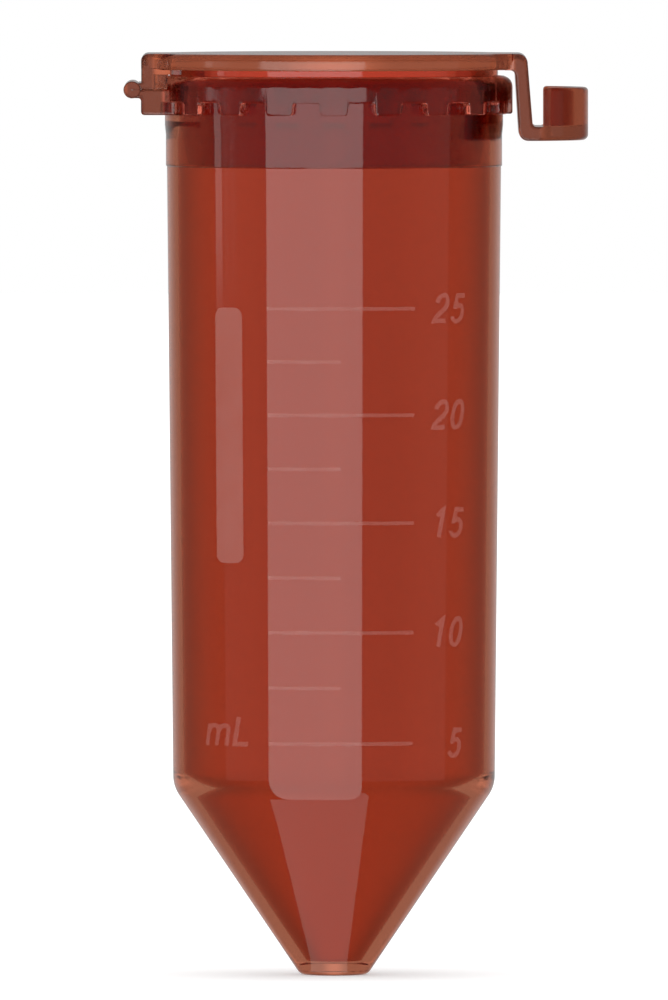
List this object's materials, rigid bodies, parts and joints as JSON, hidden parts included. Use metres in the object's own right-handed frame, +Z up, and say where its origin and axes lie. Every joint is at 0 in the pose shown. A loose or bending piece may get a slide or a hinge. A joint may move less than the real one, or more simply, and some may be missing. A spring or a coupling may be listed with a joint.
{
  "type": "snap-cap conical tube",
  "caption": "Translucent amber conical-bottom laboratory tube with moulded volume marks and a hinged snap cap with a sealing plug and thumb tab.",
  "frame": {"origin": "centre of the flat tip of the cone, on the tube's axis", "axes": "+Z up along the tube's axis towards the lid; the hinge is towards -X, the thumb tab towards +X and the graduations face -Y"},
  "size_m": [0.0398, 0.031, 0.079],
  "materials": {
    "amber_tube": "clear amber polypropylene, polished",
    "amber_cap": "clear amber polypropylene, moulded",
    "pale_mark": "frosted, slightly raised",
    "frosted_panel": "frosted write-on strip"
  },
  "bodies": {
    "tube": {"tube_body": "amber_tube", "cap_collar": "amber_cap", "hinge_lower_leaf": "amber_cap", "hinge_film": "amber_cap", "graduation_lines_long": "pale_mark", "graduation_lines_short": "pale_mark", "graduation_numerals": "pale_mark", "unit_mark": "pale_mark", "write_on_panel": "frosted_panel"},
    "lid": {"lid": "amber_cap", "sealing_plug": "amber_cap", "thumb_tab": "amber_cap", "hinge_upper_leaf": "amber_cap"}
  },
  "joints": [
    {"name": "lid_hinge", "type": "hinge", "parent": "tube", "child": "lid", "pos_m": [-0.01727, 0, 0.07591], "axis": [0, -1, 0], "range_deg": [0, 175]}
  ]
}
